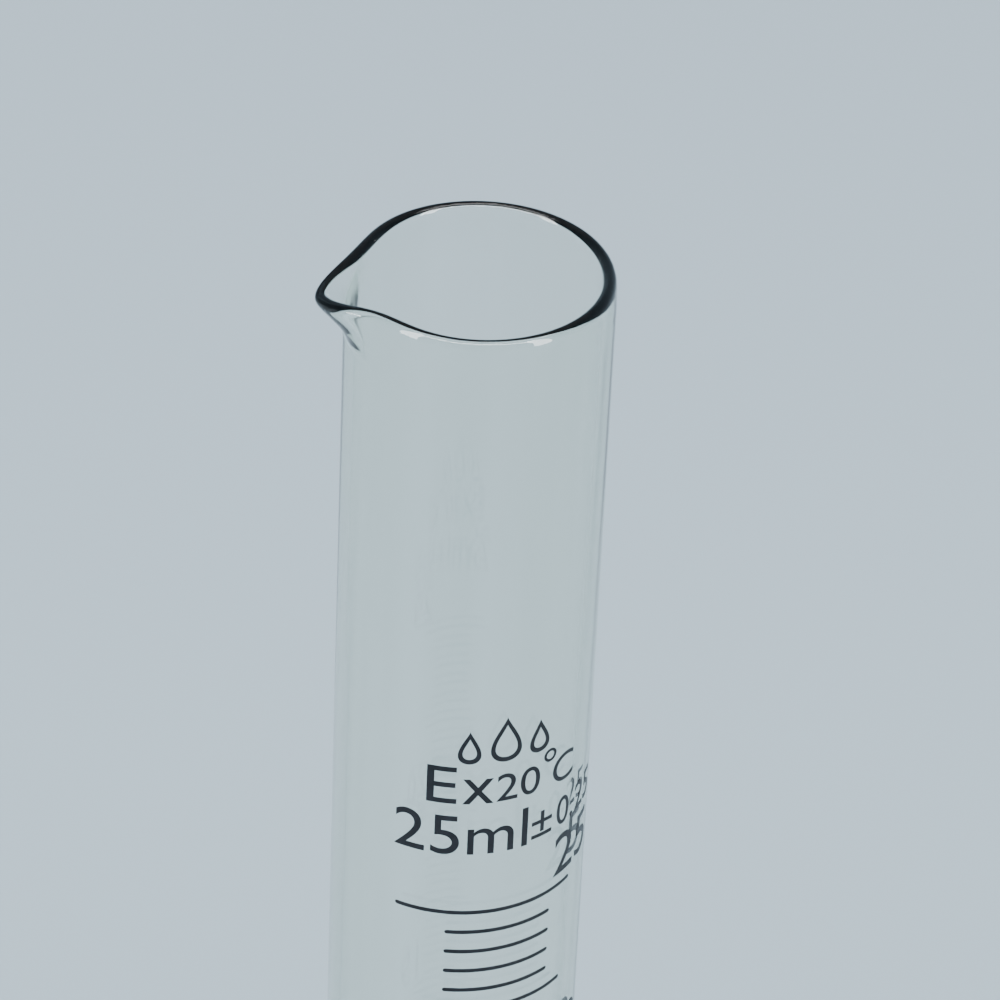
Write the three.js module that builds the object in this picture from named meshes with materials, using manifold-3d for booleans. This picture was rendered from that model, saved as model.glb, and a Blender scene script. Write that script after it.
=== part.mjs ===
// A 25 ml graduated cylinder: a pour-spout glass tube that lifts out of a moulded hexagonal foot.
// Millimetres, +Z up. The origin is the middle of the foot's underside, on the bench.
// The spout points along -X, and the fired-on scale faces -Y, turned a little towards +X.

import * as THREE from 'three';
import { mergeVertices } from 'three/addons/utils/BufferGeometryUtils.js';
import Module from 'manifold-3d';

const wasm = await Module();
wasm.setup();

// Glass tube: its bore fixes the height of one millilitre, and the scale fixes its length.
const CAPACITY_ML = 25;
const TUBE_R = 10.0;
const WALL = 1.0;
const BORE_R = TUBE_R - WALL;
const ML_HEIGHT = 1000 / (Math.PI * BORE_R ** 2);
const RIM_ABOVE_TOP_LINE = 52.6;
const END_DEPTH = 5.0; // how far the rounded end is below the straight wall
const END_GLASS = 2.2; // glass at the middle of the closed end
const RIM_NECK_IN = 0.15; // how far the fire-polished rim is drawn in
const RIM_NECK_LENGTH = 3.0;

// Pour spout, pressed out of the softened rim. The glass on both sides of it is drawn in a little.
const SPOUT_REACH = 2.55;
const SPOUT_DEPTH = 5; // from the rim down to where the pressed bulge ends
const SPOUT_DIP = 1.4;
const SPOUT_HALF_ANGLE = THREE.MathUtils.degToRad(20.2);
const SPOUT_POWER = 1.8;
const SPOUT_FULLNESS = 1.3;
const SPOUT_FLARE = 0.5; // how much of the bulge still widens straight to the rim
const SPOUT_WAIST = 0.4; // how much of the pull is a wide, inward one
const SPOUT_WAIST_ANGLE = THREE.MathUtils.degToRad(35.5);

// Fired-enamel scale.
const DIVISION_ML = 0.5;
const LOWEST_MARK_ML = 2.5;
const LONG_EVERY = 10; // divisions
const MEDIUM_EVERY = 5;
const SCALE_TURN = THREE.MathUtils.degToRad(10);
const LONG_REACH = [49.1, 39.4].map(THREE.MathUtils.degToRad); // to the left and right of the scale's middle
const MEDIUM_REACH = [35.5, 35.5].map(THREE.MathUtils.degToRad);
const SHORT_REACH = [25.7, 25.7].map(THREE.MathUtils.degToRad);
const MARK_WIDTH = 0.38;
const MARK_GAP = 0.04;
const MARK_THICKNESS = 0.06;
const MARK_STEP = THREE.MathUtils.degToRad(9);

// Moulded hexagonal foot.
const HEX_ACROSS_FLATS = 46;
const HEX_CORNER_R = 3;
const SKIRT_HEIGHT = 3.2;
const SKIRT_EDGE = 0.6;
const COLLAR_R = 13.6;
const COLLAR_TOP = 15.4;
const COLLAR_EDGE = 0.3;
const SLOPE_FOOT_R = 17.5; // where the collar's sweep runs out into the sloping top
const SLOPE_RISE = 3.4; // height of that place above the skirt
const SOCKET_R = 12.1;
const SOCKET_FLOOR = 3.8;
const FOOT_WALL = 1.9;
const BOSS_R = 14.1;
const BOSS_BOTTOM = 2.0;
const RIB_COUNT = 6;
const RIB_THICKNESS = 1.4;
const RIB_BOTTOM = 0.8;

// Soft cup that lines the socket and grips the tube.
const CUP_OUTER_R = 12.0;
const CUP_INNER_R = 10.35;
const CUP_FLOOR = 1.35;
const CUP_REST_GAP = 0.05;
const LIP_R = 13.3;
const LIP_THICKNESS = 1.2;
const LIP_GAP = 0.05;
const GRIP_RING_R = 10.12;
const GRIP_RINGS = [11.6, 13.9];
const GRIP_RING_HALF = 0.5;

const AROUND = 48; // facets round each turned piece, the same so that they line up
const WELD = 1e-4;
const OVERCUT = 1; // how far a cutting solid runs past the face that it opens

// Heights that follow from the driving dimensions.
const tubeBottom = SOCKET_FLOOR + CUP_FLOOR + CUP_REST_GAP;
const boreBottom = tubeBottom + END_GLASS;
const zeroLevel = boreBottom + END_DEPTH / 3; // an elliptical end holds two thirds of its cylinder
const topLine = zeroLevel + CAPACITY_ML * ML_HEIGHT;
const rimTop = topLine + RIM_ABOVE_TOP_LINE;
const lipBottom = COLLAR_TOP + LIP_GAP;
const lipTop = lipBottom + LIP_THICKNESS;

const clearGlass = new THREE.MeshStandardMaterial({ color: 0xbfd3d2, roughness: 0.03, metalness: 0 });
const blackEnamel = new THREE.MeshStandardMaterial({ color: 0x0b0c10, roughness: 0.4, metalness: 0 });
const bluePolypropylene = new THREE.MeshStandardMaterial({ color: 0x1f5f9e, roughness: 0.45, metalness: 0 });
const greyElastomer = new THREE.MeshStandardMaterial({ color: 0x3c4046, roughness: 0.8, metalness: 0 });

// Position-only copy with shared vertices and no collapsed triangles.
function weld(geometry) {
  geometry.deleteAttribute('normal');
  geometry.deleteAttribute('uv');
  const welded = mergeVertices(geometry, WELD);
  const index = welded.index.array;
  const kept = [];
  for (let i = 0; i < index.length; i += 3) {
    const [a, b, c] = index.slice(i, i + 3);
    const collapsed = a === b || b === c || c === a;
    if (!collapsed) kept.push(a, b, c);
  }
  welded.setIndex(kept);
  return welded;
}

// Turned solid about Z; the profile runs from low to high on its outside.
function turned(profile) {
  const points = profile.map(([r, z]) => new THREE.Vector2(r, z));
  const lathe = new THREE.LatheGeometry(points, AROUND);
  lathe.rotateX(Math.PI / 2);
  return weld(lathe);
}

// Points along an elliptical arc round (centreR, centreZ), from angle start to angle end in degrees.
function arc(centreR, centreZ, radiusR, radiusZ, start, end, steps) {
  const points = [];
  for (let i = 0; i <= steps; i += 1) {
    const angle = THREE.MathUtils.degToRad(start + ((end - start) * i) / steps);
    points.push([centreR + radiusR * Math.cos(angle), centreZ + radiusZ * Math.sin(angle)]);
  }
  return points;
}

function toSolid(geometry) {
  const vertProperties = Float32Array.from(geometry.attributes.position.array);
  const triVerts = Uint32Array.from(geometry.index.array);
  return new wasm.Manifold(new wasm.Mesh({ numProp: 3, vertProperties, triVerts }));
}

function fromSolid(solid) {
  const mesh = solid.getMesh();
  const geometry = new THREE.BufferGeometry();
  geometry.setAttribute('position', new THREE.BufferAttribute(mesh.vertProperties, 3));
  geometry.setIndex(new THREE.BufferAttribute(mesh.triVerts, 1));
  return geometry;
}

// How far the spout pulls the glass out and down, as shares of its reach and dip, at an angle from the spout
// and a depth below the rim.
function spoutPull(angle, depth) {
  const rise = THREE.MathUtils.clamp(1 - depth / SPOUT_DEPTH, 0, 1);
  const bulge = Math.exp(-(Math.abs(angle / SPOUT_HALF_ANGLE) ** SPOUT_POWER));
  const waist = Math.exp(-((angle / SPOUT_WAIST_ANGLE) ** 2));
  const across = (1 + SPOUT_WAIST) * bulge - SPOUT_WAIST * waist;
  const swell = THREE.MathUtils.lerp(THREE.MathUtils.smoothstep(rise, 0, 1), rise, SPOUT_FLARE);
  return { out: across * swell ** SPOUT_FULLNESS, down: bulge * rise };
}

function glassTube() {
  const lip = WALL / 2;
  const straightBottom = tubeBottom + END_DEPTH;
  const boreStraightBottom = boreBottom + END_DEPTH;
  const spoutSteps = [1, 0.85, 0.7, 0.55, 0.4, 0.25].map((share) => rimTop - share * SPOUT_DEPTH);
  const profile = [
    ...arc(0, straightBottom, TUBE_R, END_DEPTH, -90, 0, 7),
    [TUBE_R, topLine],
    ...spoutSteps.map((z) => [TUBE_R, z]),
    ...arc(TUBE_R - lip, rimTop - lip, lip, lip, 0, 180, 6),
    ...spoutSteps.reverse().map((z) => [BORE_R, z]),
    [BORE_R, topLine],
    ...arc(0, boreStraightBottom, BORE_R, END_DEPTH, 0, -90, 7),
  ];
  const tube = turned(profile);
  const position = tube.attributes.position;
  const spoutDirection = Math.PI;
  for (let i = 0; i < position.count; i += 1) {
    const [x, y, z] = [position.getX(i), position.getY(i), position.getZ(i)];
    const radius = Math.hypot(x, y);
    const depth = rimTop - z;
    if (depth > SPOUT_DEPTH || radius < BORE_R / 2) continue;
    const turn = Math.atan2(y, x);
    const fromSpout = Math.atan2(Math.sin(turn - spoutDirection), Math.cos(turn - spoutDirection));
    const pull = spoutPull(fromSpout, depth);
    const neck = RIM_NECK_IN * THREE.MathUtils.clamp(1 - depth / RIM_NECK_LENGTH, 0, 1) ** 2;
    const pulled = radius - neck + SPOUT_REACH * pull.out;
    position.setXYZ(i, Math.cos(turn) * pulled, Math.sin(turn) * pulled, z - SPOUT_DIP * pull.down);
  }
  return tube;
}

// One scale line: a thin strip that bends round the tube, from its left reach to its right reach.
function mark(volume, [left, right]) {
  const inner = TUBE_R + MARK_GAP;
  const outer = inner + MARK_THICKNESS;
  const middle = SCALE_TURN - Math.PI / 2;
  const steps = Math.ceil((left + right) / MARK_STEP);
  const outline = [];
  for (let i = 0; i <= steps; i += 1) {
    const angle = middle - left + ((left + right) * i) / steps;
    outline.push(new THREE.Vector2(outer * Math.cos(angle), outer * Math.sin(angle)));
  }
  for (let i = steps; i >= 0; i -= 1) {
    const angle = middle - left + ((left + right) * i) / steps;
    outline.push(new THREE.Vector2(inner * Math.cos(angle), inner * Math.sin(angle)));
  }
  const options = { depth: MARK_WIDTH, bevelEnabled: false };
  const strip = new THREE.ExtrudeGeometry(new THREE.Shape(outline), options);
  strip.translate(0, 0, zeroLevel + volume * ML_HEIGHT - MARK_WIDTH / 2);
  return weld(strip);
}

function markReach(division) {
  if (division % LONG_EVERY === 0) return LONG_REACH;
  if (division % MEDIUM_EVERY === 0) return MEDIUM_REACH;
  return SHORT_REACH;
}

// Upright prism on a hexagon with rounded corners, two of them on the X axis.
function hexPrism(acrossFlats, cornerR, bottom, top) {
  const cornerDistance = (acrossFlats / 2 - cornerR) / Math.cos(Math.PI / 6);
  const outline = new THREE.Shape();
  for (let i = 0; i < 6; i += 1) {
    const angle = (i * Math.PI) / 3;
    const half = Math.PI / 6;
    const x = cornerDistance * Math.cos(angle);
    const y = cornerDistance * Math.sin(angle);
    outline.absarc(x, y, cornerR, angle - half, angle + half, false);
  }
  outline.closePath();
  const options = { depth: top - bottom, bevelEnabled: false, curveSegments: 5 };
  const prism = new THREE.ExtrudeGeometry(outline, options);
  prism.translate(0, 0, bottom);
  return toSolid(weld(prism));
}

// The foot's turned outside: a low skirt, a sloping top and an upright collar, lowered by inset for its
// inside.
function footBell(inset, bottom) {
  const cornerR = HEX_ACROSS_FLATS / 2 / Math.cos(Math.PI / 6);
  const skirt = SKIRT_HEIGHT - inset;
  const sweep = SLOPE_FOOT_R - COLLAR_R;
  return toSolid(turned([
    [0, bottom],
    [cornerR, bottom],
    [cornerR, skirt - SKIRT_EDGE],
    [cornerR - SKIRT_EDGE, skirt],
    ...arc(SLOPE_FOOT_R, skirt + SLOPE_RISE + sweep, sweep, sweep, -90, -180, 5),
    [COLLAR_R, COLLAR_TOP - inset - COLLAR_EDGE],
    [COLLAR_R - COLLAR_EDGE, COLLAR_TOP - inset],
    [0, COLLAR_TOP - inset],
  ]));
}

// Solid plug on the axis, for the socket and the boss round it.
function plug(radius, bottom, top) {
  return toSolid(turned([[0, bottom], [radius, bottom], [radius, top], [0, top]]));
}

function rib(turn) {
  const plate = new THREE.BoxGeometry(HEX_ACROSS_FLATS, RIB_THICKNESS, COLLAR_TOP - RIB_BOTTOM);
  plate.translate(HEX_ACROSS_FLATS / 2, 0, (COLLAR_TOP + RIB_BOTTOM) / 2);
  plate.rotateZ(turn);
  return toSolid(weld(plate));
}

function foot() {
  const outline = hexPrism(HEX_ACROSS_FLATS, HEX_CORNER_R, -OVERCUT, COLLAR_TOP + OVERCUT);
  const innerFlats = HEX_ACROSS_FLATS - 2 * FOOT_WALL;
  const innerCornerR = HEX_CORNER_R - FOOT_WALL;
  const innerOutline = hexPrism(innerFlats, innerCornerR, -OVERCUT, COLLAR_TOP);
  const hollow = innerOutline.intersect(footBell(FOOT_WALL, -OVERCUT));
  let underside = hollow.subtract(plug(BOSS_R, BOSS_BOTTOM, COLLAR_TOP));
  for (let i = 0; i < RIB_COUNT; i += 1) {
    underside = underside.subtract(rib((i * 2 * Math.PI) / RIB_COUNT + Math.PI / RIB_COUNT));
  }
  const socket = plug(SOCKET_R, SOCKET_FLOOR, COLLAR_TOP + OVERCUT);
  return fromSolid(outline.intersect(footBell(0, 0)).subtract(underside).subtract(socket));
}

function gripCup() {
  const floorTop = SOCKET_FLOOR + CUP_FLOOR;
  const round = LIP_THICKNESS / 2;
  const rings = GRIP_RINGS.toReversed().flatMap((z) => [
    [CUP_INNER_R, z + GRIP_RING_HALF],
    [GRIP_RING_R, z],
    [CUP_INNER_R, z - GRIP_RING_HALF],
  ]);
  return turned([
    [0, SOCKET_FLOOR],
    [CUP_OUTER_R, SOCKET_FLOOR],
    [CUP_OUTER_R, lipBottom],
    [LIP_R - round / 2, lipBottom],
    ...arc(LIP_R - round, lipBottom + round, round, round, -60, 90, 5),
    [CUP_INNER_R + round / 2, lipTop],
    [CUP_INNER_R, lipTop - round / 2],
    ...rings,
    [CUP_INNER_R, floorTop + 1],
    [CUP_INNER_R - 1, floorTop],
    [0, floorTop],
  ]);
}

const cylinder = new THREE.Group();

function addMesh(parent, name, geometry, material) {
  const mesh = new THREE.Mesh(geometry, material);
  mesh.name = name;
  parent.add(mesh);
}

const base = new THREE.Group();
addMesh(base, 'hex_foot', foot(), bluePolypropylene);
addMesh(base, 'grip_cup', gripCup(), greyElastomer);
cylinder.add(base);

const vessel = new THREE.Group();
addMesh(vessel, 'glass_tube', glassTube(), clearGlass);
const topDivision = Math.round(CAPACITY_ML / DIVISION_ML);
for (let division = Math.round(LOWEST_MARK_ML / DIVISION_ML); division <= topDivision; division += 1) {
  const volume = division * DIVISION_ML;
  const name = `mark_${volume.toFixed(1).replace('.', '_')}_ml`;
  addMesh(vessel, name, mark(volume, markReach(division)), blackEnamel);
}
cylinder.add(vessel);

export default cylinder;
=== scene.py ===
"""Looks of a 25 ml graduated cylinder: spouted glass tube, fired enamel scale, hexagonal foot, soft cup."""

import math

import bmesh
import bpy
import numpy as np
from mathutils import Matrix, Vector, noise


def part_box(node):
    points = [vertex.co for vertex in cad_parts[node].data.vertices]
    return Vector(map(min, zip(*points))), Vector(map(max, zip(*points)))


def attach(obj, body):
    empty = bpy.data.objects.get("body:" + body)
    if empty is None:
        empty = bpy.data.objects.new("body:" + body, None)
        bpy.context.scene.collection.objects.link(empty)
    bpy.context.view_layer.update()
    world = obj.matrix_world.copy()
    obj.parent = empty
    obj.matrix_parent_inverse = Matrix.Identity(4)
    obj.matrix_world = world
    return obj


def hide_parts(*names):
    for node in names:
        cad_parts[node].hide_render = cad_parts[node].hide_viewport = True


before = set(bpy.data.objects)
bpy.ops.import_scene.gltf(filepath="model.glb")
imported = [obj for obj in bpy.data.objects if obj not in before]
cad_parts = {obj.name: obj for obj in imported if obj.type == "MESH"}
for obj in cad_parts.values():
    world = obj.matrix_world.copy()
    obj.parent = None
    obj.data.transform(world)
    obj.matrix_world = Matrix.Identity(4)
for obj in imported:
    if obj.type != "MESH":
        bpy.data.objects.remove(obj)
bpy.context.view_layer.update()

MM = 0.001

# Sizes read from the frame, in millimetres.
TUBE_LOW, TUBE_HIGH = (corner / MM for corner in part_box("glass_tube"))
FOOT_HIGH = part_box("hex_foot")[1] / MM
CUP_LOW, CUP_HIGH = (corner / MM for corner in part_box("grip_cup"))
TUBE_R = TUBE_HIGH.x
RIM_Z = TUBE_HIGH.z
TUBE_BOTTOM = TUBE_LOW.z

# Glass tube, in millimetres.
WALL = 1.0
BORE_R = TUBE_R - WALL
END_DEPTH = 5.0
END_GLASS = 2.2
RIM_NECK_IN = 0.15
RIM_NECK_LENGTH = 3.0
RIM_SHOULDER = 0.8
SPOUT_REACH = 2.55
SPOUT_DEPTH = 5.0
SPOUT_DIP = 1.4
SPOUT_HALF_ANGLE = math.radians(20.2)
SPOUT_POWER = 1.8
SPOUT_FULLNESS = 1.3
SPOUT_FLARE = 0.5
SPOUT_WAIST = 0.4
SPOUT_WAIST_ANGLE = math.radians(35.5)
SPOUT_THINNING = 0.1
SPOUT_TURN = math.radians(-90)
NORMAL_STEP = 0.01
BENT_DEPTH = 2 * SPOUT_DEPTH  # down to here the wall is set in along the outer face's normal
SHOULDER_DEPTH = SPOUT_DEPTH + 0.5  # down to here the mesh is finer
# Waves round the bore, their height in millimetres and their phase.
DRAW_LINES = ((3, 0.012, 0.4), (7, 0.008, 2.1), (13, 0.005, 4.0), (29, 0.0025, 1.3))
DRAW_FADE = 6.0
DRAW_TWIST = 0.15
DRAW_TWIST_LENGTH = 38.0
TUBE_AROUND = 288

# Fired enamel, in millimetres. A turn is measured from -Y towards +X.
SCALE_TURN = math.radians(10)
ENAMEL_BASE = -0.01
ENAMEL_TOP = 0.028
MARK_HALF_WIDTH = 0.19
MARK_CROWN = 0.55  # share of the enamel's height lost from its middle to its edges
MARK_WAVER = 0.07  # how much a line's width varies, as a share
MARK_WAVER_RATE = 14
MARK_WAVER_ROW = 3.7
MARK_DRIFT = 0.012  # how far a line strays up or down
MARK_DRIFT_RATE = 5
MARK_DRIFT_ROW = 1.3
MARK_DRIFT_LAYER = 7.0
MARK_ROUND_STEPS = 7
MARK_STEPS_PER_DEGREE = 0.8
MARK_ACROSS = np.linspace(-1, 1, 7)  # points over a line's top, as shares of its half width
MARK_UNDER = (0.9, 0, -0.9)  # and along its base
LONG_REACH = (math.radians(49.1), math.radians(39.4))
MEDIUM_REACH = (math.radians(35.5), math.radians(35.5))
SHORT_REACH = (math.radians(25.7), math.radians(25.7))
LOWEST_DIVISION = 5  # divisions of 0.5 ml
TOP_DIVISION = 50
MEDIUM_EVERY = 5
LONG_EVERY = 10
PRINT_SLICE = 0.3
NUMBER_SIZE = 5.7
NUMBER_RIGHT = 9.95
NUMBER_ABOVE_LINE = 1.45
TOP_NUMBER_ABOVE_LINE = 1.1
NUMBER_STEP = 5
TOP_NUMBER = 25
# Printed runs: text, size, left edge round the tube, baseline's depth under the rim, and width scale.
TEMPERATURE_RUNS = (
    ("E", 5.13, -6.3, 41.85, 1.15),
    ("x", 5.3, -3.5, 41.85, 0.9),
    ("20", 3.75, -0.87, 41.8, 1.04),
    ("°", 4.6, 3.1, 41.55, 1.0),
    ("C", 3.85, 4.1, 42.1, 1.03),
)
CAPACITY_RUNS = (
    ("25", 5.45, -8.8, 46.8, 1.05),
    ("ml", 5.45, -3.0, 46.8, 1.03),
    ("±", 4.2, 2.25, 46.5, 1.0),
    ("0.25", 3.9, 4.8, 46.5, 0.85),
)
# The emblem's droplets: place across, width and height.
EMBLEM_DROPS = ((1.1, 2.1, 3.1), (3.95, 2.9, 4.2), (6.8, 2.1, 3.1))
EMBLEM_STROKE = 0.42
EMBLEM_HEIGHT_STROKES = 2.6  # strokes taken off a droplet's height for its inner outline
EMBLEM_LEFT = -4.0
EMBLEM_DEPTH = 38.0
DROP_WIDTH = 0.62
DROP_POINT = 1.6  # how sharply a droplet draws in to its point

# Foot, in millimetres.
HEX_FLAT = FOOT_HIGH.y
HEX_CORNER_R = 3.0
SKIRT_HEIGHT = 3.2
SKIRT_EDGE = 0.6
SOFT_EDGE = 0.3
DRAFT = 0.15
COLLAR_R = 13.6
COLLAR_TOP = FOOT_HIGH.z
SLOPE_FOOT_R = 17.5
SLOPE_RISE = 3.4
SOCKET_R = 12.1
SOCKET_FLOOR = CUP_LOW.z
FOOT_WALL = 1.9
BOSS_R = 14.1
BOSS_BOTTOM = 2.0
BOSS_FILLET = 1.0
RIB_COUNT = 6
RIB_THICKNESS = 1.4
RIB_BOTTOM = 0.8
RIB_ROOT = 0.5
FOOT_AROUND = 288

# Soft cup, in millimetres.
CUP_OUTER_R = 12.0
CUP_INNER_R = 10.35
CUP_EDGE = 0.4
CUP_FLOOR = 1.35
CUP_FLOOR_FILLET = 1.0
LIP_R = CUP_HIGH.x
LIP_THICKNESS = 1.2
LIP_EDGE = 0.5
GRIP_RING_R = 10.12
GRIP_RINGS = (13.9, 11.6)
GRIP_RING_HALF = 0.5
CUP_POLE_R = 0.5
CUP_AROUND = 192

# Camera, as seen from the front of the tube's axis.
CAMERA_AZIMUTH = math.radians(-11.5)
CAMERA_REACH = 0.3027
CAMERA_ABOVE_RIM = 0.1936
CAMERA_YAW = math.radians(0.401)
CAMERA_PITCH = math.radians(35.27)
CAMERA_ROLL = math.radians(2.637)
CAMERA_LENS = 177.6
SENSOR = 36.0
CLIP_START = 0.01
CLIP_END = 50

# Stage and lights, in metres and watts. Turns are measured from the camera's side of the tube.
STAGE_FLAT_R = 1.7
STAGE_R = 2.7
STAGE_HEIGHT = 2.7
STAGE_AROUND = 96
SOFTBOX_DISTANCE = 1.5
SOFTBOX_WIDTH = 0.42
SOFTBOX_HEIGHT = 1.9
SOFTBOX_POWER = 52
SOFTBOX_CLEARANCE = 0.02
SOFTBOX_LEFT = math.radians(-61)
SOFTBOX_RIGHT = math.radians(52)
STRIP_LENGTH = 2.2
STRIP_DISTANCE = 1.6
FRONT_STRIP_ELEVATION = math.radians(55)
FRONT_STRIP_WIDTH = 0.3
FRONT_STRIP_POWER = 40
TOP_STRIP_ELEVATION = math.radians(88)
TOP_STRIP_WIDTH = 0.5
TOP_STRIP_POWER = 16
WORLD_COLOUR = (0.80, 0.89, 1.0)
WORLD_STRENGTH = 0.5


def on_tube(turn, radius, z):
    """A point in metres at a turn from -Y towards +X, a radius and a height in millimetres."""
    return Vector((radius * math.sin(turn), -radius * math.cos(turn), z)) * MM


def new_object(name, mesh):
    obj = bpy.data.objects.new(name, mesh)
    bpy.context.scene.collection.objects.link(obj)
    return obj


def piece(name, mesh, material, body, slot, *replaced):
    """A shown piece that rides on a body and stands for the named CAD nodes."""
    obj = new_object(name, mesh)
    mesh.materials.clear()
    mesh.materials.append(material)
    mesh.polygons.foreach_set("use_smooth", [True] * len(mesh.polygons))
    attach(obj, body)
    if replaced:
        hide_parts(*replaced)


def arc(centre_r, centre_z, radius_r, radius_z, start, end, steps):
    """Points (r, z) along an elliptical arc, with angles in degrees."""
    angles = np.radians(np.linspace(start, end, steps + 1))
    return [(centre_r + radius_r * math.cos(a), centre_z + radius_z * math.sin(a)) for a in angles]


def straight(start, end, steps):
    """Points between two (r, z) points, without the two themselves."""
    shares = np.linspace(0, 1, steps + 2)[1:-1]
    return [(start[0] + (end[0] - start[0]) * s, start[1] + (end[1] - start[1]) * s) for s in shares]


def loft(name, rings, first_pole=None, last_pole=None):
    """A mesh through rings of points, each closed round the axis, with optional pole points at its ends."""
    mesh = bpy.data.meshes.new(name)
    count = len(rings[0])
    points = [p for ring in rings for p in ring]
    faces = []
    for i in range(len(rings) - 1):
        for j in range(count):
            k = (j + 1) % count
            low, high = i * count, (i + 1) * count
            faces.append((low + j, low + k, high + k, high + j))
    for pole, base, turned_over in ((first_pole, 0, True), (last_pole, (len(rings) - 1) * count, False)):
        if pole is None:
            continue
        tip = len(points)
        points.append(pole)
        for j in range(count):
            k = (j + 1) % count
            faces.append((base + k, base + j, tip) if turned_over else (base + j, base + k, tip))
    mesh.from_pydata([tuple(p) for p in points], [], faces)
    mesh.validate()
    outward(mesh)
    return mesh


def outward(mesh):
    """Turns every face outwards."""
    work = bmesh.new()
    work.from_mesh(mesh)
    bmesh.ops.recalc_face_normals(work, faces=work.faces)
    work.to_mesh(mesh)
    work.free()


# ---------------------------------------------------------------- materials

def material_nodes(name):
    material = bpy.data.materials.new(name)
    material.use_nodes = True
    tree = material.node_tree
    tree.nodes.clear()
    output = tree.nodes.new("ShaderNodeOutputMaterial")
    shader = tree.nodes.new("ShaderNodeBsdfPrincipled")
    tree.links.new(shader.outputs["BSDF"], output.inputs["Surface"])
    return material, tree, shader, output


def noise_texture(tree, scale, detail=3.0, stretch=(1, 1, 1)):
    """Object-space noise; stretch scales the axes before it is read."""
    coordinates = tree.nodes.new("ShaderNodeTexCoord")
    mapping = tree.nodes.new("ShaderNodeMapping")
    mapping.inputs["Scale"].default_value = stretch
    texture = tree.nodes.new("ShaderNodeTexNoise")
    texture.inputs["Scale"].default_value = scale
    texture.inputs["Detail"].default_value = detail
    tree.links.new(coordinates.outputs["Object"], mapping.inputs["Vector"])
    tree.links.new(mapping.outputs["Vector"], texture.inputs["Vector"])
    return texture.outputs["Fac"]


def ramp(tree, value, low, high, start=0.3, end=0.7):
    """Maps value from start..end to the two colours or greys."""
    node = tree.nodes.new("ShaderNodeValToRGB")
    node.color_ramp.elements[0].position = start
    node.color_ramp.elements[1].position = end
    for element, colour in zip(node.color_ramp.elements, (low, high)):
        grey = not hasattr(colour, "__len__")
        element.color = (colour, colour, colour, 1) if grey else (*colour, 1)
    tree.links.new(value, node.inputs["Fac"])
    return node.outputs["Color"]


def bump(tree, shader, height, strength, distance):
    node = tree.nodes.new("ShaderNodeBump")
    node.inputs["Strength"].default_value = strength
    node.inputs["Distance"].default_value = distance
    tree.links.new(height, node.inputs["Height"])
    tree.links.new(node.outputs["Normal"], shader.inputs["Normal"])


def rubbed_edges(tree, colour, worn, patches):
    """The colour, turning to the worn one in patches along edges that stand out."""
    geometry = tree.nodes.new("ShaderNodeNewGeometry")
    edge = ramp(tree, geometry.outputs["Pointiness"], 0.0, 1.0, start=0.51, end=0.58)
    share = tree.nodes.new("ShaderNodeMath")
    share.operation = "MULTIPLY"
    tree.links.new(edge, share.inputs[0])
    tree.links.new(patches, share.inputs[1])
    mix = tree.nodes.new("ShaderNodeMixRGB")
    mix.inputs["Color2"].default_value = (*worn, 1)
    tree.links.new(share.outputs["Value"], mix.inputs["Fac"])
    tree.links.new(colour, mix.inputs["Color1"])
    return mix.outputs["Color"]


def glass_material():
    material, tree, shader, output = material_nodes("borosilicate_glass")
    shader.inputs["Transmission Weight"].default_value = 1.0
    shader.inputs["IOR"].default_value = 1.474
    haze = noise_texture(tree, scale=90, detail=4)
    roughness = ramp(tree, haze, 0.0, 0.035, start=0.45, end=0.85)
    tree.links.new(roughness, shader.inputs["Roughness"])
    film = noise_texture(tree, scale=210, detail=3, stretch=(1, 1, 0.04))
    tint = ramp(tree, film, (0.955, 0.965, 0.955), (1.0, 1.0, 1.0), start=0.35, end=0.65)
    tree.links.new(tint, shader.inputs["Base Color"])
    draw = noise_texture(tree, scale=260, detail=2, stretch=(1, 1, 0.03))
    bump(tree, shader, draw, strength=0.05, distance=0.0002)
    absorption = tree.nodes.new("ShaderNodeVolumeAbsorption")
    absorption.inputs["Color"].default_value = (0.34, 0.56, 0.28, 1)
    absorption.inputs["Density"].default_value = 100
    tree.links.new(absorption.outputs["Volume"], output.inputs["Volume"])
    return material


def enamel_material():
    material, tree, shader, _ = material_nodes("fired_black_enamel")
    ink = noise_texture(tree, scale=1400, detail=3)
    black = ramp(tree, ink, (0.002, 0.0025, 0.004), (0.006, 0.007, 0.010))
    tree.links.new(black, shader.inputs["Base Color"])
    shader.inputs["Specular IOR Level"].default_value = 0.22
    sheen = noise_texture(tree, scale=2500, detail=2)
    tree.links.new(ramp(tree, sheen, 0.3, 0.5), shader.inputs["Roughness"])
    bump(tree, shader, ink, strength=0.25, distance=0.00002)
    return material


def foot_material():
    material, tree, shader, _ = material_nodes("blue_polypropylene")
    shader.inputs["IOR"].default_value = 1.49
    shader.inputs["Subsurface Weight"].default_value = 0.06
    shader.inputs["Subsurface Radius"].default_value = (0.3, 0.6, 1.0)
    shader.inputs["Subsurface Scale"].default_value = 0.002
    flow = noise_texture(tree, scale=45, detail=3)
    moulded = ramp(tree, flow, (0.009, 0.048, 0.160), (0.014, 0.068, 0.205))
    wear = noise_texture(tree, scale=420, detail=5)
    blue = rubbed_edges(tree, moulded, worn=(0.055, 0.140, 0.300), patches=ramp(tree, wear, 0.2, 0.9))
    tree.links.new(blue, shader.inputs["Base Color"])
    tree.links.new(ramp(tree, wear, 0.34, 0.56), shader.inputs["Roughness"])
    grain = noise_texture(tree, scale=3400, detail=3)
    bump(tree, shader, grain, strength=0.6, distance=0.00007)
    return material


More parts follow.
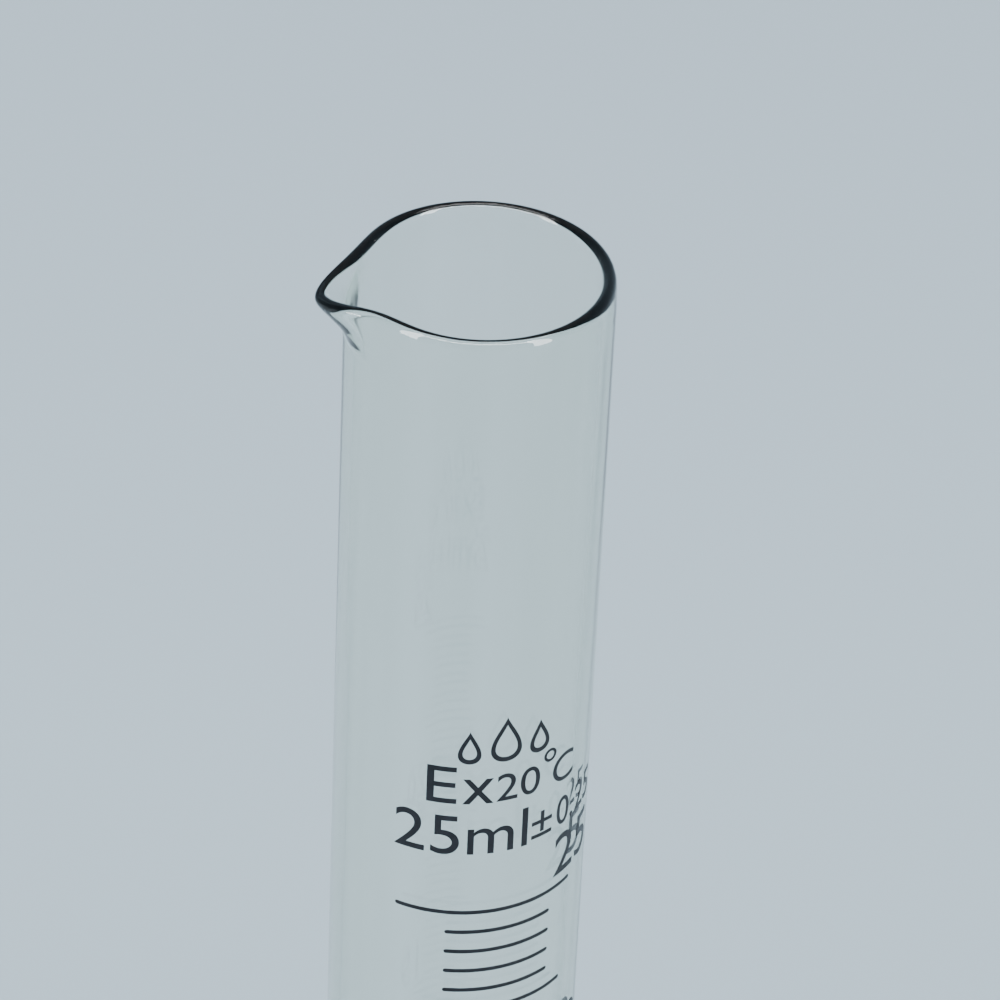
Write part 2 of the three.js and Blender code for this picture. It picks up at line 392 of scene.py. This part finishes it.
def grip_material():
    material, tree, shader, _ = material_nodes("grey_elastomer")
    dust = noise_texture(tree, scale=260, detail=5)
    grey = ramp(tree, dust, (0.035, 0.038, 0.042), (0.07, 0.073, 0.078), start=0.35, end=0.8)
    tree.links.new(grey, shader.inputs["Base Color"])
    tree.links.new(ramp(tree, dust, 0.55, 0.78), shader.inputs["Roughness"])
    grain = noise_texture(tree, scale=3600, detail=3)
    bump(tree, shader, grain, strength=0.5, distance=0.00005)
    return material


def floor_material():
    material, tree, shader, _ = material_nodes("pale_floor")
    mottle = noise_texture(tree, scale=3, detail=4)
    pale = ramp(tree, mottle, (0.285, 0.36, 0.415), (0.30, 0.375, 0.43))
    tree.links.new(pale, shader.inputs["Base Color"])
    shader.inputs["Roughness"].default_value = 0.85
    return material


# ---------------------------------------------------------------- glass tube

def spout_pull(turn, depth):
    """How far out, and how far down, the spout takes a point of the glass: shares of its reach and dip."""
    rise = min(max(1 - depth / SPOUT_DEPTH, 0), 1)
    from_spout = (turn - SPOUT_TURN + math.pi) % (2 * math.pi) - math.pi
    bulge = math.exp(-(abs(from_spout) / SPOUT_HALF_ANGLE) ** SPOUT_POWER)
    waist = math.exp(-(from_spout / SPOUT_WAIST_ANGLE) ** 2)
    across = (1 + SPOUT_WAIST) * bulge - SPOUT_WAIST * waist
    swell = SPOUT_FLARE * rise + (1 - SPOUT_FLARE) * rise * rise * (3 - 2 * rise)
    return across * swell**SPOUT_FULLNESS, bulge * rise


def draw_lines(turn, z):
    """Small lengthwise waves that drawing the tube leaves in its bore, in millimetres.

    They fade out towards the bore's rounded end and towards the rim."""
    above_end = z - TUBE_BOTTOM - END_GLASS - END_DEPTH
    share = min(max(above_end / DRAW_FADE, 0), 1) * min(max((RIM_Z - z) / DRAW_FADE, 0), 1)
    twist = DRAW_TWIST * math.sin(z / DRAW_TWIST_LENGTH)
    return share * sum(size * math.sin(waves * (turn + twist) + phase) for waves, size, phase in DRAW_LINES)


def outer_point(turn, z):
    """A point of the tube's outer face above its rounded end, in metres."""
    depth = RIM_Z - z
    out, down = spout_pull(turn, depth)
    neck = RIM_NECK_IN * min(max(1 - depth / RIM_NECK_LENGTH, 0), 1) ** 2
    return on_tube(turn, TUBE_R - neck + SPOUT_REACH * out, z - SPOUT_DIP * down)


def tube_point(turn, radius, z):
    """A point of the glass.

    Near the rim it is set in from the outer face along that face's normal, so that the wall keeps its
    thickness through the spout's bends."""
    depth = RIM_Z - z
    on_bore = abs(radius - BORE_R) < NORMAL_STEP
    inset = TUBE_R - radius - (draw_lines(turn, z) if on_bore else 0)
    if depth > BENT_DEPTH:
        return on_tube(turn, TUBE_R - inset, z)
    middle = outer_point(turn, z)
    along = outer_point(turn, z + NORMAL_STEP) - outer_point(turn, z - NORMAL_STEP)
    step = NORMAL_STEP / TUBE_R
    around = outer_point(turn + step, z) - outer_point(turn - step, z)
    inset *= 1 - SPOUT_THINNING * spout_pull(turn, depth)[1]
    return middle - around.cross(along).normalized() * inset * MM


def make_tube(material):
    lip = WALL / 2
    outer_straight = TUBE_BOTTOM + END_DEPTH
    bore_bottom = TUBE_BOTTOM + END_GLASS
    inner_straight = bore_bottom + END_DEPTH
    shoulder = RIM_Z - SHOULDER_DEPTH
    lip_base = RIM_Z - lip
    profile = [
        *arc(0, outer_straight, TUBE_R, END_DEPTH, -90, 0, 20)[1:],
        *straight((TUBE_R, outer_straight), (TUBE_R, shoulder), 24),
        (TUBE_R, shoulder),
        *straight((TUBE_R, shoulder), (TUBE_R, RIM_Z - RIM_SHOULDER), 22),
        *arc(TUBE_R - lip, RIM_Z - RIM_SHOULDER, lip, RIM_SHOULDER, 0, 90, 12),
        *arc(TUBE_R - lip, lip_base, lip, lip, 90, 180, 10)[1:],
        *straight((BORE_R, lip_base), (BORE_R, shoulder), 22),
        (BORE_R, shoulder),
        *straight((BORE_R, shoulder), (BORE_R, inner_straight), 24),
        *arc(0, inner_straight, BORE_R, END_DEPTH, 0, -90, 20)[:-1],
    ]
    turns = np.linspace(0, 2 * math.pi, TUBE_AROUND, endpoint=False)
    rings = [[tube_point(turn, r, z) for turn in turns] for r, z in profile]
    mesh = loft("tube_glass", rings, on_tube(0, 0, TUBE_BOTTOM), on_tube(0, 0, bore_bottom))
    piece("tube_glass", mesh, material, "vessel", "glass", "glass_tube")


# ---------------------------------------------------------------- enamel print

def make_mark(division, material):
    """One scale line, with round ends and a slightly uneven edge."""
    node = "mark_%d_%d_ml" % (division // 2, 5 * (division % 2))
    low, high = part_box(node)
    z = (low.z + high.z) / 2 / MM
    left, right = SHORT_REACH
    if division % MEDIUM_EVERY == 0:
        left, right = MEDIUM_REACH
    if division % LONG_EVERY == 0:
        left, right = LONG_REACH
    end_angle = MARK_HALF_WIDTH / TUBE_R
    round_end = [end_angle * (1 - math.cos(a)) for a in np.radians(np.linspace(8, 90, MARK_ROUND_STEPS))]
    steps = round(math.degrees(left + right) * MARK_STEPS_PER_DEGREE) + 1
    body = np.linspace(end_angle - left, right - end_angle, steps)
    turns = [t - left for t in round_end[:-1]] + list(body) + [right - t for t in round_end[-2::-1]]
    rings = []
    for turn in turns:
        past = max(0.0, (max(turn - right, -turn - left) + end_angle) / end_angle)
        half = MARK_HALF_WIDTH * math.sqrt(max(1 - past**2, 0.01))
        waver = noise.noise((turn * MARK_WAVER_RATE, division * MARK_WAVER_ROW, 0.0))
        half *= 1 + MARK_WAVER * waver
        drift = noise.noise((turn * MARK_DRIFT_RATE, division * MARK_DRIFT_ROW, MARK_DRIFT_LAYER))
        middle = z + MARK_DRIFT * drift
        ring = []
        for a in MARK_ACROSS:
            crown = ENAMEL_TOP * (1 - MARK_CROWN * a**2)
            ring.append(on_tube(SCALE_TURN + turn, TUBE_R + crown, middle + half * a))
        for a in MARK_UNDER:
            ring.append(on_tube(SCALE_TURN + turn, TUBE_R + ENAMEL_BASE, middle + half * a))
        rings.append(ring)
    mesh = bpy.data.meshes.new("line")
    count = len(rings[0])
    faces = [tuple(range(count - 1, -1, -1)), tuple(len(rings) * count - count + i for i in range(count))]
    for i in range(len(rings) - 1):
        for j in range(count):
            k = (j + 1) % count
            faces.append((i * count + j, i * count + k, (i + 1) * count + k, (i + 1) * count + j))
    mesh.from_pydata([tuple(p) for ring in rings for p in ring], [], faces)
    mesh.validate()
    outward(mesh)
    piece(node.replace("mark", "line"), mesh, material, "vessel", "enamel", node)


def flat_text(body, size):
    """A text curve of one line with its baseline at 0, in millimetres."""
    curve = bpy.data.curves.new("print", "FONT")
    curve.body = body
    curve.size = size
    curve.extrude = (ENAMEL_TOP - ENAMEL_BASE) / 2
    curve.resolution_u = 8
    return curve


def flat_outlines(outlines):
    """A filled flat curve from closed outlines of (x, y) points, in millimetres."""
    curve = bpy.data.curves.new("print", "CURVE")
    curve.dimensions = "2D"
    curve.fill_mode = "BOTH"
    curve.extrude = (ENAMEL_TOP - ENAMEL_BASE) / 2
    for outline in outlines:
        spline = curve.splines.new("POLY")
        spline.points.add(len(outline) - 1)
        for point, (x, y) in zip(spline.points, outline):
            point.co = (x, y, 0, 1)
        spline.use_cyclic_u = True
    return curve


def wrapped(curve, baseline, width_scale, left=None, right=None):
    """The curve as a mesh bent round the tube.

    Its left or right edge is at an arc length from the scale's middle."""
    flat = new_object("flat_print", curve)
    bpy.context.view_layer.update()
    mesh = bpy.data.meshes.new_from_object(flat.evaluated_get(bpy.context.evaluated_depsgraph_get()))
    bpy.data.objects.remove(flat)
    work = bmesh.new()
    work.from_mesh(mesh)
    bmesh.ops.remove_doubles(work, verts=work.verts, dist=1e-5)
    start = min(v.co.x for v in work.verts)
    for v in work.verts:
        v.co.x = (v.co.x - start) * width_scale
    end = max(v.co.x for v in work.verts)
    if left is None:
        left = right - end
    for x in np.arange(PRINT_SLICE, end, PRINT_SLICE):
        geometry = work.verts[:] + work.edges[:] + work.faces[:]
        bmesh.ops.bisect_plane(work, geom=geometry, dist=1e-6, plane_co=(x, 0, 0), plane_no=(1, 0, 0))
    middle = (ENAMEL_TOP + ENAMEL_BASE) / 2
    for v in work.verts:
        turn = SCALE_TURN + (left + v.co.x) / TUBE_R
        v.co = on_tube(turn, TUBE_R + middle + v.co.z, baseline + v.co.y)
    bmesh.ops.recalc_face_normals(work, faces=work.faces)
    work.to_mesh(mesh)
    work.free()
    return mesh


def joined(name, meshes):
    work = bmesh.new()
    for mesh in meshes:
        work.from_mesh(mesh)
    result = bpy.data.meshes.new(name)
    work.to_mesh(result)
    work.free()
    return result


def print_piece(name, meshes, material):
    mesh = joined(name, meshes)
    piece(name, mesh, material, "vessel", "enamel")
    mesh.polygons.foreach_set("use_smooth", [False] * len(mesh.polygons))


def print_row(name, runs, material):
    meshes = []
    for text, size, left, depth, width_scale in runs:
        meshes.append(wrapped(flat_text(text, size), RIM_Z - depth, width_scale, left))
    print_piece(name, meshes, material)


def drop_outline(x, y, width, height, steps=40):
    """A droplet with its point up, centred on x and standing on y."""
    points = []
    for i in range(steps):
        t = 2 * math.pi * i / steps
        across = DROP_WIDTH * math.sin(t) * math.sin(t / 2) ** DROP_POINT
        points.append((x + width * across, y + height * (1 + math.cos(t)) / 2))
    return points


def make_emblem(material):
    """Three plain droplets in outline."""
    outlines = []
    for x, width, height in EMBLEM_DROPS:
        inner_width = width - 2 * EMBLEM_STROKE
        inner_height = height - EMBLEM_HEIGHT_STROKES * EMBLEM_STROKE
        outlines.append(drop_outline(x, 0, width, height))
        outlines.append(drop_outline(x, EMBLEM_STROKE, inner_width, inner_height))
    mesh = wrapped(flat_outlines(outlines), RIM_Z - EMBLEM_DEPTH, 1.0, EMBLEM_LEFT)
    print_piece("print_emblem", [mesh], material)


def make_numbers(material):
    for volume in range(NUMBER_STEP, TOP_NUMBER + 1, NUMBER_STEP):
        low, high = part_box("mark_%d_0_ml" % volume)
        above = TOP_NUMBER_ABOVE_LINE if volume == TOP_NUMBER else NUMBER_ABOVE_LINE
        baseline = (low.z + high.z) / 2 / MM + above
        number = wrapped(flat_text(str(volume), NUMBER_SIZE), baseline, 1.0, right=NUMBER_RIGHT)
        print_piece("number_%d" % volume, [number], material)


def make_print(material):
    make_emblem(material)
    print_row("print_temperature", TEMPERATURE_RUNS, material)
    print_row("print_capacity", CAPACITY_RUNS, material)
    make_numbers(material)


# ---------------------------------------------------------------- foot and cup

def hexagon(turn, flat, corner_r):
    """Reach of a hexagon with rounded corners on the X axis, at an angle from +X."""
    corner = (flat - corner_r) / math.cos(math.pi / 6)
    a = (turn + math.pi / 6) % (math.pi / 3) - math.pi / 6
    inside = corner_r**2 - (corner * math.sin(a)) ** 2
    if inside > 0:
        reach = corner * math.cos(a) + math.sqrt(inside)
        x, y = reach * math.cos(a), reach * math.sin(a)
        if abs(math.atan2(y, x - corner)) <= math.pi / 6 + 1e-9:
            return reach
    return flat / math.cos(math.pi / 6 - abs(a))


def skirt_top(r):
    """Height of the foot's sloping top at a radius, in millimetres."""
    corner = HEX_FLAT / math.cos(math.pi / 6) - SKIRT_EDGE
    inner_z = SKIRT_HEIGHT + SLOPE_RISE
    return inner_z + (SKIRT_HEIGHT - inner_z) * (r - SLOPE_FOOT_R) / (corner - SLOPE_FOOT_R)


def foot_profile(reach, inner_reach):
    """The foot's section at one turn, from its socket floor over the collar to under the boss."""
    sweep = SLOPE_FOOT_R - COLLAR_R
    slope = arc(SLOPE_FOOT_R, SKIRT_HEIGHT + SLOPE_RISE + sweep, sweep, sweep, 180, 270, 14)
    shoulder = (reach - SKIRT_EDGE, skirt_top(reach - SKIRT_EDGE))
    hollow_top = SKIRT_HEIGHT + SLOPE_RISE - FOOT_WALL
    wall_foot = (inner_reach - DRAFT, SKIRT_HEIGHT - FOOT_WALL)
    return [
        *straight((0, SOCKET_FLOOR), (SOCKET_R - SOFT_EDGE, SOCKET_FLOOR), 4),
        *arc(SOCKET_R - SOFT_EDGE, SOCKET_FLOOR + SOFT_EDGE, SOFT_EDGE, SOFT_EDGE, -90, 0, 3),
        *straight((SOCKET_R, SOCKET_FLOOR + SOFT_EDGE), (SOCKET_R, COLLAR_TOP - SOFT_EDGE), 6),
        *arc(SOCKET_R + SOFT_EDGE, COLLAR_TOP - SOFT_EDGE, SOFT_EDGE, SOFT_EDGE, 180, 90, 4),
        *arc(COLLAR_R - SOFT_EDGE, COLLAR_TOP - SOFT_EDGE, SOFT_EDGE, SOFT_EDGE, 90, 0, 6),
        *straight((COLLAR_R, COLLAR_TOP - SOFT_EDGE), slope[0], 5),
        *slope,
        *straight(slope[-1], shoulder, 10),
        *arc(shoulder[0], shoulder[1] - SKIRT_EDGE, SKIRT_EDGE, SKIRT_EDGE, 80, 0, 7),
        *straight((reach, shoulder[1] - SKIRT_EDGE), (reach, SOFT_EDGE), 5),
        *arc(reach - SOFT_EDGE, SOFT_EDGE, SOFT_EDGE, SOFT_EDGE, 0, -90, 5),
        *straight((reach - SOFT_EDGE, 0), (inner_reach + DRAFT, 0), 2),
        (inner_reach + DRAFT, 0),
        (inner_reach, DRAFT),
        wall_foot,
        *straight(wall_foot, (BOSS_R + BOSS_FILLET, hollow_top), 8),
        *arc(BOSS_R + BOSS_FILLET, hollow_top - BOSS_FILLET, BOSS_FILLET, BOSS_FILLET, 90, 180, 5),
        *straight((BOSS_R, hollow_top - BOSS_FILLET), (BOSS_R, BOSS_BOTTOM + SOFT_EDGE), 4),
        *arc(BOSS_R - SOFT_EDGE, BOSS_BOTTOM + SOFT_EDGE, SOFT_EDGE, SOFT_EDGE, 0, -90, 4),
        *straight((BOSS_R - SOFT_EDGE, BOSS_BOTTOM), (0, BOSS_BOTTOM), 5),
    ]


def make_foot(material):
    turns = np.linspace(0, 2 * math.pi, FOOT_AROUND, endpoint=False)
    sections = []
    for turn in turns:
        reach = hexagon(turn, HEX_FLAT, HEX_CORNER_R)
        inner = hexagon(turn, HEX_FLAT - FOOT_WALL, HEX_CORNER_R - FOOT_WALL)
        sections.append(foot_profile(reach, inner))
    rings = []
    for i in range(len(sections[0])):
        ring = []
        for turn, section in zip(turns, sections):
            r, z = section[i]
            ring.append(Vector((r * math.cos(turn), r * math.sin(turn), z)) * MM)
        rings.append(ring)
    mesh = loft("foot_moulding", rings, Vector((0, 0, SOCKET_FLOOR * MM)), Vector((0, 0, BOSS_BOTTOM * MM)))
    piece("foot_moulding", mesh, material, "foot", "foot", "hex_foot")


def make_ribs(material):
    """Six stiffening ribs under the foot, from its boss to its flats, each with a rounded lower edge."""
    inner_r, outer_r = BOSS_R - RIB_ROOT, HEX_FLAT - FOOT_WALL + RIB_ROOT
    half = RIB_THICKNESS / 2
    angles = np.radians(range(0, 181, 20))
    section = [(half * math.cos(a), RIB_BOTTOM + half - half * math.sin(a)) for a in angles]
    work = bmesh.new()
    for i in range(RIB_COUNT):
        turn = (2 * i + 1) * math.pi / RIB_COUNT
        across = Vector((-math.sin(turn), math.cos(turn), 0))
        ends = []
        for r in (inner_r, outer_r):
            top = skirt_top(max(r, SLOPE_FOOT_R)) - FOOT_WALL + RIB_ROOT
            outline = [(half, top), *section, (-half, top)]
            away = Vector((math.cos(turn), math.sin(turn), 0)) * r
            ends.append([work.verts.new((away + across * x + Vector((0, 0, z))) * MM) for x, z in outline])
        count = len(ends[0])
        for j in range(count):
            k = (j + 1) % count
            work.faces.new((ends[0][j], ends[0][k], ends[1][k], ends[1][j]))
        work.faces.new(ends[0][::-1])
        work.faces.new(ends[1])
    bmesh.ops.recalc_face_normals(work, faces=work.faces)
    mesh = bpy.data.meshes.new("foot_ribs")
    work.to_mesh(mesh)
    work.free()
    piece("foot_ribs", mesh, material, "foot", "foot")
    mesh.polygons.foreach_set("use_smooth", [False] * len(mesh.polygons))


def make_cup(material):
    low, high = CUP_LOW.z, CUP_HIGH.z
    round_r = LIP_THICKNESS / 2
    lip_low = high - LIP_THICKNESS
    lip_middle = (LIP_R - round_r, lip_low + round_r)
    floor_top = low + CUP_FLOOR
    floor_corner = (CUP_INNER_R - CUP_FLOOR_FILLET, floor_top + CUP_FLOOR_FILLET)
    grips = []
    for z in GRIP_RINGS:
        grips += arc(CUP_INNER_R, z, CUP_INNER_R - GRIP_RING_R, GRIP_RING_HALF, 90, 270, 8)
    below_grips = min(GRIP_RINGS) - GRIP_RING_HALF
    profile = [
        (CUP_POLE_R, low),
        *straight((CUP_POLE_R, low), (CUP_OUTER_R - CUP_EDGE, low), 5),
        *arc(CUP_OUTER_R - CUP_EDGE, low + CUP_EDGE, CUP_EDGE, CUP_EDGE, -90, 0, 5),
        *straight((CUP_OUTER_R, low + CUP_EDGE), (CUP_OUTER_R, lip_low), 5),
        (CUP_OUTER_R, lip_low),
        (LIP_R - round_r, lip_low),
        *arc(*lip_middle, round_r, round_r, -90, 90, 14)[1:],
        *straight((LIP_R - round_r, high), (CUP_INNER_R + LIP_EDGE, high), 2),
        *arc(CUP_INNER_R + LIP_EDGE, high - LIP_EDGE, LIP_EDGE, LIP_EDGE, 90, 180, 7),
        *grips,
        *straight((CUP_INNER_R, below_grips), (CUP_INNER_R, floor_corner[1]), 3),
        *arc(*floor_corner, CUP_FLOOR_FILLET, CUP_FLOOR_FILLET, 0, -90, 6),
        *straight((floor_corner[0], floor_top), (CUP_POLE_R, floor_top), 4),
        (CUP_POLE_R, floor_top),
    ]
    turns = np.linspace(0, 2 * math.pi, CUP_AROUND, endpoint=False)
    rings = [[on_tube(turn, r, z) for turn in turns] for r, z in profile]
    mesh = loft("soft_cup", rings, on_tube(0, 0, low), on_tube(0, 0, floor_top))
    piece("soft_cup", mesh, material, "foot", "grip", "grip_cup")


# ---------------------------------------------------------------- stage

def make_floor():
    """A round floor that sweeps up into a plain wall, open at the top; sizes in metres."""
    sweep_r = STAGE_R - STAGE_FLAT_R
    profile = [
        *straight((0, 0), (STAGE_FLAT_R, 0), 5),
        *arc(STAGE_FLAT_R, sweep_r, sweep_r, sweep_r, -90, 0, 24),
        (STAGE_R, STAGE_HEIGHT),
    ]
    turns = np.linspace(0, 2 * math.pi, STAGE_AROUND, endpoint=False)
    rings = [[(r * math.cos(turn), r * math.sin(turn), z) for turn in turns] for r, z in profile]
    mesh = loft("floor", rings, (0, 0, 0))
    mesh.flip_normals()
    mesh.polygons.foreach_set("use_smooth", [True] * len(mesh.polygons))
    mesh.materials.append(floor_material())
    new_object("floor", mesh)


def in_view_frame(x, y, z):
    """A direction given with the camera straight ahead along +Y, turned into the object's frame."""
    return Matrix.Rotation(CAMERA_AZIMUTH, 3, "Z") @ Vector((x, y, z))


def softbox(name, width, height, power, place, behind):
    """A rectangular lamp at a place, with a direction that points out of its back."""
    light = bpy.data.lights.new(name, "AREA")
    light.shape = "RECTANGLE"
    light.size = width
    light.size_y = height
    light.energy = power
    lamp = new_object(name, light)
    lamp.location = place
    lamp.rotation_mode = "QUATERNION"
    lamp.rotation_quaternion = behind.to_track_quat("Z", "Y")


def standing_softbox(name, turn):
    """A tall softbox just above the floor, at a turn from the camera's side."""
    direction = in_view_frame(math.sin(turn), -math.cos(turn), 0)
    place = direction * SOFTBOX_DISTANCE + Vector((0, 0, SOFTBOX_HEIGHT / 2 + SOFTBOX_CLEARANCE))
    softbox(name, SOFTBOX_WIDTH, SOFTBOX_HEIGHT, SOFTBOX_POWER, place, direction)


def overhead_strip(name, elevation, width, power):
    """A long strip over the camera's side of the tube, which draws a thin light line along the rim."""
    direction = in_view_frame(0, -math.cos(elevation), math.sin(elevation))
    place = direction * STRIP_DISTANCE + Vector((0, 0, RIM_Z * MM))
    softbox(name, STRIP_LENGTH, width, power, place, direction)


def make_lights():
    standing_softbox("softbox_left", SOFTBOX_LEFT)
    standing_softbox("softbox_right", SOFTBOX_RIGHT)
    overhead_strip("front_strip", FRONT_STRIP_ELEVATION, FRONT_STRIP_WIDTH, FRONT_STRIP_POWER)
    overhead_strip("top_strip", TOP_STRIP_ELEVATION, TOP_STRIP_WIDTH, TOP_STRIP_POWER)
    world = bpy.data.worlds.new("studio")
    bpy.context.scene.world = world
    world.use_nodes = True
    background = world.node_tree.nodes["Background"]
    background.inputs["Color"].default_value = (*WORLD_COLOUR, 1)
    background.inputs["Strength"].default_value = WORLD_STRENGTH


def make_camera():
    data = bpy.data.cameras.new("camera")
    data.lens = CAMERA_LENS
    data.sensor_width = SENSOR
    data.clip_start = CLIP_START
    data.clip_end = CLIP_END
    camera = new_object("camera", data)
    ahead = in_view_frame(
        math.sin(CAMERA_YAW) * math.cos(CAMERA_PITCH),
        math.cos(CAMERA_YAW) * math.cos(CAMERA_PITCH),
        -math.sin(CAMERA_PITCH),
    )
    level = ahead.cross(Vector((0, 0, 1))).normalized()
    upright = level.cross(ahead)
    right = math.cos(CAMERA_ROLL) * level + math.sin(CAMERA_ROLL) * upright
    up = math.cos(CAMERA_ROLL) * upright - math.sin(CAMERA_ROLL) * level
    turn = Matrix((right, up, -ahead)).transposed()
    place = in_view_frame(0, -CAMERA_REACH, 0) + Vector((0, 0, RIM_Z * MM + CAMERA_ABOVE_RIM))
    camera.matrix_world = Matrix.Translation(place) @ turn.to_4x4()
    bpy.context.scene.camera = camera


make_camera()
make_tube(glass_material())
enamel = enamel_material()
for division in range(LOWEST_DIVISION, TOP_DIVISION + 1):
    make_mark(division, enamel)
make_print(enamel)
foot_plastic = foot_material()
make_foot(foot_plastic)
make_ribs(foot_plastic)
make_cup(grip_material())
make_floor()
make_lights()
